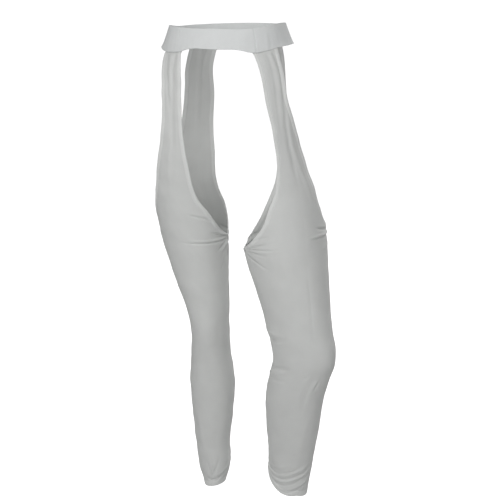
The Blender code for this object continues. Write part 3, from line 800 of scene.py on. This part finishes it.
def distances_along(points):
    """Measures along the rows and down the columns of a grid, for its UV map."""
    across = np.linalg.norm(np.diff(points, axis=1), axis=-1)
    across = np.pad(np.cumsum(across, axis=1), ((0, 0), (1, 0)))
    across = across - across[:, points.shape[1] // 2][:, None]
    middle = points[:, points.shape[1] // 2]
    down = np.linalg.norm(np.diff(middle, axis=0), axis=-1)
    down = np.pad(np.cumsum(down), (1, 0))
    return np.stack([across, np.broadcast_to(-down[:, None], across.shape)], axis=-1)


def add_object(name, data):
    """A new object in the scene."""
    made = bpy.data.objects.new(name, data)
    bpy.context.scene.collection.objects.link(made)
    return made


def cloth_mesh(name, outside, inside, measures, doubled, mirrored):
    """A closed mesh from a grid for the outside of a cloth and one for its inside."""
    rows = outside.shape[0] - 1
    columns = outside.shape[1] - 1
    mesh = bpy.data.meshes.new(name)
    cloth = bmesh.new()
    bmesh.ops.create_grid(cloth, x_segments=columns, y_segments=rows, size=0.5)
    cloth.to_mesh(mesh)
    cloth.free()
    flat = np.empty(len(mesh.vertices) * 3)
    mesh.vertices.foreach_get("co", flat)
    flat = flat.reshape(-1, 3) + 0.5
    column = np.rint(flat[:, 0] * columns).astype(int)
    line = rows - np.rint(flat[:, 1] * rows).astype(int)
    if mirrored:
        column = columns - column
    loop_vertex = np.empty(len(mesh.loops), dtype=np.int32)
    mesh.loops.foreach_get("vertex_index", loop_vertex)
    measure = mesh.uv_layers.new(name="Cloth")
    measure.data.foreach_set("uv", measures[line, column][loop_vertex].ravel())
    layer = mesh.attributes.new("doubled", "FLOAT", "POINT")
    layer.data.foreach_set("value", doubled[line, column].astype(np.float32))
    sheets = []
    for points in (outside, inside):
        sheet = mesh.copy()
        sheet.vertices.foreach_set("co", points[line, column].ravel())
        sheets.append(sheet)
    both = bmesh.new()
    both.from_mesh(sheets[1])
    bmesh.ops.reverse_faces(both, faces=both.faces[:])
    both.from_mesh(sheets[0])
    bmesh.ops.remove_doubles(both, verts=both.verts[:], dist=MERGE_DISTANCE)
    both.to_mesh(mesh)
    both.free()
    for sheet in sheets:
        bpy.data.meshes.remove(sheet)
    mesh.shade_smooth()
    return mesh


def add_cloth(node, surface, outward, build, material, mirrored=False):
    """The cloth of a node, which has its thickness inwards from its surface."""
    normal = grid_normals(surface, outward)
    outside = surface + normal * (build.relief - build.fall)[..., None]
    inside = surface - normal * (build.wall - build.fall)[..., None]
    border = np.ones(surface.shape[:2], bool)
    border[1:-1, 1:-1] = False
    between = (outside + inside) / 2
    outside[border] = between[border]
    inside[border] = between[border]
    name = node + "_cloth"
    measures = distances_along(surface)
    mesh = cloth_mesh(name, outside, inside, measures, build.doubled, mirrored)
    mesh.materials.append(material)
    piece = add_object(name, mesh)
    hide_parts(node)
    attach(piece, "root")
    return piece


def edge_lines(points, kinds):
    """The free stretch and the sewn stretch of one side edge of a panel."""
    free = points[kinds == FREE]
    sewn = points[kinds == SEAM]
    if len(free) and len(sewn):
        sewn = np.concatenate([free[-1:], sewn])
    return free, sewn


def add_leg_panel(leg, is_front, sizes, material):
    """A front or back panel of a leg, with the strap that it runs up into."""
    heights = row_heights(leg)
    start, end, start_kind, end_kind = panel_edges(leg, is_front, heights)
    bearing = panel_bearings(leg, heights, start, end)
    height = np.broadcast_to(heights[:, None], bearing.shape).copy()
    rise = cloth_rise(leg, height, bearing, sizes) + tuck(leg, height)
    surface = tube_point(leg, height, bearing, rise)
    centre_x = leg.side * smooth_column(leg.sections, height, "out")
    centre_y = -smooth_column(leg.sections, height, "fore")
    outward = surface - np.stack([centre_x, centre_y, surface[..., 2]], axis=-1)

    left_free, left_sewn = edge_lines(surface[:, 0], start_kind)
    right_free, right_sewn = edge_lines(surface[:, -1], end_kind)
    to_free = distance_to(surface, left_free, right_free)
    to_seam = distance_to(surface, left_sewn, right_sewn)
    to_hem = distance_to(surface, surface[-1])
    to_top = distance_to(surface, surface[0])
    to_edge = np.minimum.reduce([to_free, to_seam, to_hem, to_top])

    doubled = np.zeros(surface.shape[:2])
    sewn_line = np.zeros(surface.shape[:2])
    for distance, width in ((to_free, sizes.hem_width), (to_hem, sizes.ankle_hem)):
        doubled = np.maximum(doubled, 1 - ease(distance, width - HEM_END, width))
        sewn_line = sewn_line + groove(distance, width - STITCH_INSET, STITCH_DENT_WIDTH)
    allowance = 1 - ease(to_seam, SEAM_ALLOWANCE - ALLOWANCE_END, SEAM_ALLOWANCE)
    wall = sizes.jersey + sizes.hem_layer * np.maximum(doubled, allowance)
    relief = HEM_RELIEF * doubled - STITCH_DENT * sewn_line
    relief = relief - SEAM_DENT * groove(to_seam, 0, SEAM_DENT_WIDTH)
    fall = rounding(to_edge, wall.mean() / 2)
    build = Build(relief, wall, fall, doubled)
    node = f"{leg.name}_{'front' if is_front else 'back'}"
    return add_cloth(node, surface, outward, build, material, leg.side < 0)


def hem_path(leg, is_front, side, distance):
    """Where a row of stitches runs, at a distance in from one free edge of a panel."""
    top = leg.sections[0].height
    heights = np.linspace(top - 0.001, leg.straps[-1].height + 0.0002, PATH_POINTS)
    start, end, start_kind, end_kind = panel_edges(leg, is_front, heights)
    edge, kind = (start, start_kind) if side < 0 else (end, end_kind)
    heights, edge = heights[kind == FREE], edge[kind == FREE]
    line = tube_point(leg, heights, edge)
    length = np.concatenate([[0], np.cumsum(np.linalg.norm(np.diff(line, axis=0), axis=1))])
    even = np.linspace(0, length[-1], int(length[-1] / PATH_STEP))
    heights = np.interp(even, length, heights)
    edge = np.interp(even, length, edge)

    by_turn, by_height = surface_steps(leg, heights, edge)
    normal = unit(np.cross(by_turn, by_height))
    tangent = unit(np.gradient(tube_point(leg, heights, edge), axis=0))
    inward = np.cross(normal, tangent)
    target = inward * (np.sign(dot(inward, by_turn)) * -side * distance)[:, None]
    turn_turn = dot(by_turn, by_turn)
    high_high = dot(by_height, by_height)
    turn_high = dot(by_turn, by_height)
    on_turn = dot(target, by_turn)
    on_high = dot(target, by_height)
    scale = turn_turn * high_high - turn_high**2
    turned = (on_turn * high_high - on_high * turn_high) / scale
    risen = (on_high * turn_turn - on_turn * turn_high) / scale
    return heights + risen, edge + turned


def stitch_rows(leg, is_front, sizes, stitches):
    """Lines of points for all the rows of stitches on a panel."""
    top = leg.sections[0].height
    first, last = panel_limits(leg, is_front)
    first, last = first + SEAM_CLEARANCE, last - SEAM_CLEARANCE
    lines = []
    for side in (-1, 1):
        height, bearing = hem_path(leg, is_front, side, sizes.hem_width - STITCH_INSET)
        kept = (bearing > first) & (bearing < last) & (height < top - BAND_CLEARANCE)
        lines.append((height[kept], bearing[kept]))
    bearing = np.linspace(first, last, ANKLE_POINTS)
    ankle = leg.sections[-1].height + sizes.ankle_hem - STITCH_INSET
    lines.append((np.full_like(bearing, ankle), bearing))
    placed = []
    for height, bearing in lines:
        rise = cloth_rise(leg, height[:, None], bearing[:, None], sizes)[:, 0]
        lift = stitches.thread * STITCH_STAND - STITCH_SINK
        placed.append(tube_point(leg, height, bearing, rise + lift))
    return placed


def add_sockets(tree, inputs, outputs):
    """Names the inputs and the outputs of a node group, each with its kind."""
    for in_out, sockets in (("INPUT", inputs), ("OUTPUT", outputs)):
        for name, kind in sockets.items():
            tree.interface.new_socket(name, in_out=in_out, socket_type="NodeSocket" + kind)


def set_inputs(tree, node, inputs):
    """Gives inputs of a node their values, or links them to outputs of other nodes."""
    for name, value in inputs.items():
        if isinstance(value, bpy.types.NodeSocket):
            tree.links.new(value, node.inputs[name])
        else:
            node.inputs[name].default_value = value


def add_node(tree, kind, inputs=None, **settings):
    """A new node of a tree, with its settings and its inputs; gives back its outputs."""
    node = tree.nodes.new(kind)
    for name, value in settings.items():
        setattr(node, name, value)
    set_inputs(tree, node, inputs or {})
    return node.outputs


def stitch_tree():
    """Geometry nodes that lay stitches along lines."""
    tree = bpy.data.node_groups.new("stitches along a line", "GeometryNodeTree")
    inputs = {
        "Lines": "Geometry",
        "Pitch": "Float",
        "Length": "Float",
        "Thread": "Float",
        "Sides": "Int",
        "Material": "Material",
    }
    add_sockets(tree, inputs, {"Stitches": "Geometry"})
    given = add_node(tree, "NodeGroupInput")
    curve = add_node(tree, "GeometryNodeMeshToCurve", {"Mesh": given["Lines"]})
    evenly = add_node(
        tree,
        "GeometryNodeResampleCurve",
        {"Curve": curve["Curve"], "Length": given["Pitch"]},
        mode="LENGTH",
    )
    tangent = add_node(tree, "GeometryNodeInputTangent")
    aim = add_node(
        tree, "FunctionNodeAlignRotationToVector", {"Vector": tangent["Tangent"]}, axis="Z"
    )
    ball = add_node(
        tree, "GeometryNodeMeshUVSphere", {"Segments": given["Sides"], "Rings": 5, "Radius": 0.5}
    )
    stretch = add_node(
        tree,
        "ShaderNodeCombineXYZ",
        {"X": given["Thread"], "Y": given["Thread"], "Z": given["Length"]},
    )
    laid = add_node(
        tree,
        "GeometryNodeInstanceOnPoints",
        {
            "Points": evenly["Curve"],
            "Instance": ball["Mesh"],
            "Rotation": aim["Rotation"],
            "Scale": stretch["Vector"],
        },
    )
    real = add_node(tree, "GeometryNodeRealizeInstances", {"Geometry": laid["Instances"]})
    smooth = add_node(tree, "GeometryNodeSetShadeSmooth", {"Geometry": real["Geometry"]})
    finish = add_node(
        tree,
        "GeometryNodeSetMaterial",
        {"Geometry": smooth["Geometry"], "Material": given["Material"]},
    )
    add_node(tree, "NodeGroupOutput", {"Stitches": finish["Geometry"]})
    return tree


def add_stitches(name, lines, stitches, material):
    """A mesh of stitches along some lines of points."""
    mesh = bpy.data.meshes.new(name)
    path = bmesh.new()
    for line in lines:
        points = [path.verts.new(point) for point in line]
        for first, second in zip(points[:-1], points[1:]):
            path.edges.new((first, second))
    path.to_mesh(mesh)
    path.free()
    guide = add_object(name + "_lines", mesh)
    tree = bpy.data.node_groups.get("stitches along a line") or stitch_tree()
    modifier = guide.modifiers.new("Stitches", "NODES")
    modifier.node_group = tree
    values = {
        "Pitch": stitches.pitch,
        "Length": stitches.length,
        "Thread": stitches.thread,
        "Sides": stitches.sides,
        "Material": material,
    }
    for socket in tree.interface.items_tree:
        if socket.in_out == "INPUT" and socket.name in values:
            modifier[socket.identifier] = values[socket.name]
    bpy.context.view_layer.update()
    evaluated = guide.evaluated_get(bpy.context.evaluated_depsgraph_get())
    made = bpy.data.meshes.new_from_object(evaluated)
    if len(made.polygons) == 0:
        raise RuntimeError(f"no stitches were made for {name}")
    bpy.data.objects.remove(guide)
    made.name = name
    piece = add_object(name, made)
    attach(piece, "root")
    return piece


def add_leg(leg):
    """Both panels of a leg, with the stitches of their hems."""
    sizes = bpy.context.scene.chaps_cloth
    stitches = bpy.context.scene.chaps_stitches
    cloth = named_material("leg jersey")
    thread = named_material("thread")
    for is_front in (True, False):
        piece = add_leg_panel(leg, is_front, sizes, cloth)
        lines = stitch_rows(leg, is_front, sizes, stitches)
        sewing = add_stitches(piece.name.replace("cloth", "stitches"), lines, stitches, thread)


def add_band_piece(node, start, end, step, sizes, material):
    """One piece of the waistband, between its two upright seams."""
    gap = np.degrees(SEAM_GAP / 2 / BAND_RADIUS)
    near = np.degrees(np.array(FINE_STEPS) / BAND_RADIUS)
    start, end = start + gap, end - gap
    count = round((end - start) / step)
    inner = np.linspace(start + near[-1], end - near[-1], count)[1:-1]
    bearings = np.concatenate([start + near, inner, (end - near)[::-1]])
    half = BAND_HEIGHT / 2
    rim = np.array(FINE_STEPS[:5])
    inner = np.linspace(half - BAND_RIM, BAND_RIM - half, BAND_ROWS)
    heights = np.concatenate([half - rim, inner, rim[::-1] - half])
    height, bearing = np.meshgrid(heights, bearings, indexing="ij")

    across = np.radians(bearing) * BAND_RADIUS
    rise = np.zeros_like(height)
    for layer in BAND_SWELLS:
        waves = swell(across, height * layer.upwards, layer.seed, layer.wavelength)
        rise = rise + waves * layer.depth
    below = 0.5 - height / BAND_HEIGHT
    rise = rise * (BAND_CALM + (1 - BAND_CALM) * ease(below, 0.1, 0.9))
    surface = band_point(height, bearing, rise)
    outward = surface * np.array([1.0, 1.0, 0.0])

    to_seam = distance_to(surface, surface[:, 0], surface[:, -1])
    to_rim = distance_to(surface, surface[0], surface[-1])
    relief = groove(to_seam, BAND_RIDGE_PLACE, BAND_RIDGE_WIDTH)
    relief = BAND_SEAM_RELIEF * (relief - groove(to_seam, 0, BAND_SEAM_DENT_WIDTH))
    radius = sizes.band_wall / 2
    fall = rounding(to_rim, radius) + BAND_SEAM_ROUNDING * rounding(to_seam, radius)
    fall = np.minimum(fall, radius)
    build = Build(relief, sizes.band_wall, fall, np.ones(height.shape))
    return add_cloth(node, surface, outward, build, material)


def knit_group():
    """Shader nodes for the face of a fine jersey: its ribs of loops, its fuzz, and a tone of
    random broad blotches with painted shade where the fuzz sinks.
    """
    group = bpy.data.node_groups.get("jersey knit")
    if group:
        return group
    group = bpy.data.node_groups.new("jersey knit", "ShaderNodeTree")
    inputs = {"Vector": "Vector", "Loops per metre": "Float", "Fuzz": "Float"}
    add_sockets(group, inputs, {"Height": "Float", "Tone and painted shade": "Float"})
    given = add_node(group, "NodeGroupInput")

    def math(operation, *values):
        return add_node(group, "ShaderNodeMath", dict(enumerate(values)), operation=operation)[0]

    def noise(**inputs):
        inputs["Vector"] = given["Vector"]
        return add_node(group, "ShaderNodeTexNoise", inputs)["Fac"]

    loops = {0: given["Vector"], "Scale": given["Loops per metre"]}
    scaled = add_node(group, "ShaderNodeVectorMath", loops, operation="SCALE")
    parts = add_node(group, "ShaderNodeSeparateXYZ", {0: scaled["Vector"]})
    rib = math("PINGPONG", parts["X"], 0.5)
    slant = math("ADD", math("MULTIPLY", parts["Y"], 1.25), rib)
    loop = math("PINGPONG", slant, 0.5)
    knit = math("MULTIPLY", math("SQRT", rib), math("ADD", loop, 0.35))
    fuzz = noise(Scale=420.0, Detail=3.0, Roughness=0.6)
    blotch = noise(Scale=26.0, Detail=4.0, Roughness=0.55)
    height = math("ADD", knit, math("MULTIPLY", fuzz, given["Fuzz"]))
    # Random broad blotches of tone, plus painted shade: darker where the fuzz lowers the bump
    shade = math("ADD", math("MULTIPLY", blotch, 0.6), math("MULTIPLY", fuzz, 0.4))
    add_node(group, "NodeGroupOutput", {"Height": height, "Tone and painted shade": shade})
    return group


def new_material(name):
    """A material with nodes, its tree and its shader."""
    material = bpy.data.materials.new(name)
    material.use_nodes = True
    return material, material.node_tree, material.node_tree.nodes["Principled BSDF"]


def mixed_colour(tree, factor, first, second, **settings):
    """The output of a node that mixes two colours."""
    inputs = {"Factor": factor, "A": first, "B": second}
    return add_node(tree, "ShaderNodeMix", inputs, data_type="RGBA", **settings)["Result"]


def bumped_normal(tree, height, strength, distance):
    """The normal output of a bump node."""
    inputs = {"Height": height, "Strength": strength, "Distance": distance}
    return add_node(tree, "ShaderNodeBump", inputs)["Normal"]


def jersey_material(name, colour, doubled_colour, loops):
    """Matte white jersey, a little lighter where it is doubled."""
    material, tree, shader = new_material(name)
    measure = add_node(tree, "ShaderNodeUVMap", uv_map="Cloth")
    inputs = {"Vector": measure["UV"], "Loops per metre": loops, "Fuzz": 0.5}
    knit = add_node(tree, "ShaderNodeGroup", inputs, node_tree=knit_group())
    layer = add_node(tree, "ShaderNodeAttribute", attribute_name="doubled")
    plain = mixed_colour(tree, layer["Fac"], (*colour, 1.0), (*doubled_colour, 1.0))
    # Random tone and painted shade: the colour is darker in the knit's broad blotches and where
    # its fuzz sinks
    limits = {"From Min": 0.3, "From Max": 0.7, "To Min": 0.96, "To Max": 1.03}
    darker = add_node(tree, "ShaderNodeMapRange", {"Value": knit["Tone and painted shade"], **limits})
    tinted = mixed_colour(tree, 1.0, plain, darker["Result"], blend_type="MULTIPLY")
    limits = {"To Min": 0.82, "To Max": 0.96}
    rough = add_node(tree, "ShaderNodeMapRange", {"Value": knit["Tone and painted shade"], **limits})
    finish = {
        "Base Color": tinted,
        "Roughness": rough["Result"],
        "Normal": bumped_normal(tree, knit["Height"], 0.3, 0.0003),
        "Sheen Weight": 0.12,
        "Sheen Roughness": 0.6,
        "Specular IOR Level": 0.25,
    }
    set_inputs(tree, shader, finish)
    return material


def thread_material(colour):
    """Twisted polyester thread, a little glossier than the cloth, with painted shade in the
    grooves of its twist.
    """
    material, tree, shader = new_material("thread")
    place = add_node(tree, "ShaderNodeTexCoord")
    inputs = {"Vector": place["Object"], "Scale": 900.0, "Distortion": 1.5}
    twist = add_node(tree, "ShaderNodeTexWave", inputs)["Fac"]
    # Painted shade: the thread's colour is darker in the grooves of its twist, where the bump
    # sinks
    painted_groove_shade = (*(0.9 * value for value in colour), 1.0)
    finish = {
        "Base Color": mixed_colour(tree, twist, painted_groove_shade, (*colour, 1.0)),
        "Roughness": 0.6,
        "Normal": bumped_normal(tree, twist, 0.3, 0.0001),
    }
    set_inputs(tree, shader, finish)
    return material


def named_material(name):
    """A material of the garment, made when it is first asked for."""
    colours = bpy.context.scene.chaps_colours
    found = bpy.data.materials.get(name)
    if found:
        return found
    if name == "band jersey":
        return jersey_material(name, colours.band, colours.band, loops=850.0)
    if name == "leg jersey":
        return jersey_material(name, colours.legs, colours.doubled, loops=900.0)
    return thread_material(colours.thread)


def add_area_light(light, power):
    """A soft square light that faces a point."""
    data = bpy.data.lights.new(light.name + " light", "AREA")
    data.energy = power
    data.size = light.width
    lamp = add_object(light.name + " light", data)
    lamp.location = light.place
    towards = np.array(light.target) - np.array(light.place)
    turn = np.arctan2(-towards[0], towards[1])
    tip = np.arctan2(np.hypot(towards[0], towards[1]), -towards[2])
    lamp.rotation_euler = (tip, 0, turn)


def add_floor(height, colour):
    """A pale floor that fades into the white surroundings."""
    mesh = bpy.data.meshes.new("floor")
    plane = bmesh.new()
    bmesh.ops.create_circle(plane, cap_ends=True, segments=96, radius=FLOOR_RADIUS)
    bmesh.ops.translate(plane, verts=plane.verts, vec=(0, 0, height))
    plane.to_mesh(mesh)
    plane.free()
    material, tree, shader = new_material("floor paper")
    place = add_node(tree, "ShaderNodeTexCoord")
    grain = add_node(tree, "ShaderNodeTexNoise", {"Vector": place["Object"], "Scale": 3.0})
    pale = (*(min(1.0, value * 1.02) for value in colour), 1.0)
    seen = add_node(tree, "ShaderNodeLightPath")["Is Camera Ray"]
    glow = add_node(tree, "ShaderNodeMath", {0: seen, 1: FLOOR_GLOW}, operation="MULTIPLY")
    finish = {
        "Base Color": mixed_colour(tree, grain["Fac"], (*colour, 1.0), pale),
        "Roughness": 0.9,
        "Specular IOR Level": 0.1,
        "Emission Color": (1, 1, 1, 1),
        "Emission Strength": glow[0],
    }
    set_inputs(tree, shader, finish)
    mesh.materials.append(material)
    add_object("floor", mesh)


def add_surroundings(strength):
    """White surroundings, seen at full strength and lighting at a lower one."""
    world = bpy.data.worlds.new("surroundings")
    bpy.context.scene.world = world
    world.use_nodes = True
    tree = world.node_tree
    seen = add_node(tree, "ShaderNodeLightPath")["Is Camera Ray"]
    limits = {"To Min": strength, "To Max": 1.0}
    level = add_node(tree, "ShaderNodeMapRange", {"Value": seen, **limits})["Result"]
    set_inputs(tree, tree.nodes["Background"], {"Color": (1, 1, 1, 1), "Strength": level})


def add_camera(lens):
    """The camera, where the photograph was taken from."""
    data = bpy.data.cameras.new("camera")
    data.lens = lens
    data.sensor_width = 36
    data.clip_end = 200
    camera = add_object("camera", data)
    camera.location = CAMERA_PLACE
    camera.rotation_euler = (np.radians(CAMERA_PITCH), 0, np.radians(CAMERA_TURN))
    bpy.context.scene.camera = camera


class CHAPS_OT_waistband(Operator):
    """Make the two pieces of the waistband"""

    bl_idname = "chaps.waistband"
    bl_label = "Waistband"

    def execute(self, context):
        sizes = context.scene.chaps_cloth
        cloth = named_material("band jersey")
        start, end = BAND_SEAM_RIGHT, BAND_SEAM_LEFT
        front = add_band_piece("waistband_front", start, end, FRONT_BAND_STEP, sizes, cloth)
        back = add_band_piece("waistband_back", end, start + 360, BACK_BAND_STEP, sizes, cloth)
        return {"FINISHED"}


class CHAPS_OT_right_leg(Operator):
    """Make the front and back panel of the right leg, with their straps and hems"""

    bl_idname = "chaps.right_leg"
    bl_label = "Right leg"

    def execute(self, context):
        add_leg(RIGHT_LEG)
        return {"FINISHED"}


class CHAPS_OT_left_leg(Operator):
    """Make the front and back panel of the left leg, with their straps and hems"""

    bl_idname = "chaps.left_leg"
    bl_label = "Left leg"

    def execute(self, context):
        add_leg(LEFT_LEG)
        return {"FINISHED"}


class CHAPS_OT_stage(Operator):
    """Make the floor, the surroundings, the lights and the camera"""

    bl_idname = "chaps.stage"
    bl_label = "Stage"

    def execute(self, context):
        stage = context.scene.chaps_stage
        add_floor(stage.floor_height, context.scene.chaps_colours.floor)
        add_surroundings(stage.sky)
        powers = {"key": stage.key_power, "fill": stage.fill_power, "back": stage.back_power}
        for light in LIGHTS:
            add_area_light(light, powers[light.name])
        add_camera(stage.lens)
        context.scene.view_settings.view_transform = "Standard"
        return {"FINISHED"}


class CHAPS_PT_sidebar(Panel):
    """The chaps' sizes, colours and steps"""

    bl_idname = "CHAPS_PT_sidebar"
    bl_label = "Jersey chaps"
    bl_space_type = "VIEW_3D"
    bl_region_type = "UI"
    bl_category = "Chaps"

    def draw(self, context):
        layout = self.layout
        for group, _ in GROUPS:
            settings = getattr(context.scene, group)
            box = layout.box()
            for name in settings.bl_rna.properties.keys():
                if name not in ("rna_type", "name"):
                    box.prop(settings, name)
        for step in STEPS:
            layout.operator(step.bl_idname)


STEPS = (CHAPS_OT_waistband, CHAPS_OT_right_leg, CHAPS_OT_left_leg, CHAPS_OT_stage)
GROUPS = (
    ("chaps_cloth", ClothSizes),
    ("chaps_stitches", StitchSizes),
    ("chaps_colours", ClothColours),
    ("chaps_stage", StageSettings),
)


def register():
    for name, group in GROUPS:
        bpy.utils.register_class(group)
        setattr(bpy.types.Scene, name, PointerProperty(type=group))
    for step in STEPS:
        bpy.utils.register_class(step)
    bpy.utils.register_class(CHAPS_PT_sidebar)


def unregister():
    bpy.utils.unregister_class(CHAPS_PT_sidebar)
    for step in reversed(STEPS):
        bpy.utils.unregister_class(step)
    for name, group in reversed(GROUPS):
        delattr(bpy.types.Scene, name)
        bpy.utils.unregister_class(group)


def main():
    """Makes the chaps and their stage."""
    for start_object in ("Cube", "Light", "Camera"):
        found = bpy.data.objects.get(start_object)
        if found:
            bpy.data.objects.remove(found)
    register()
    bpy.ops.chaps.waistband()
    bpy.ops.chaps.right_leg()
    bpy.ops.chaps.left_leg()
    bpy.ops.chaps.stage()


if __name__ == "__main__":
    main()
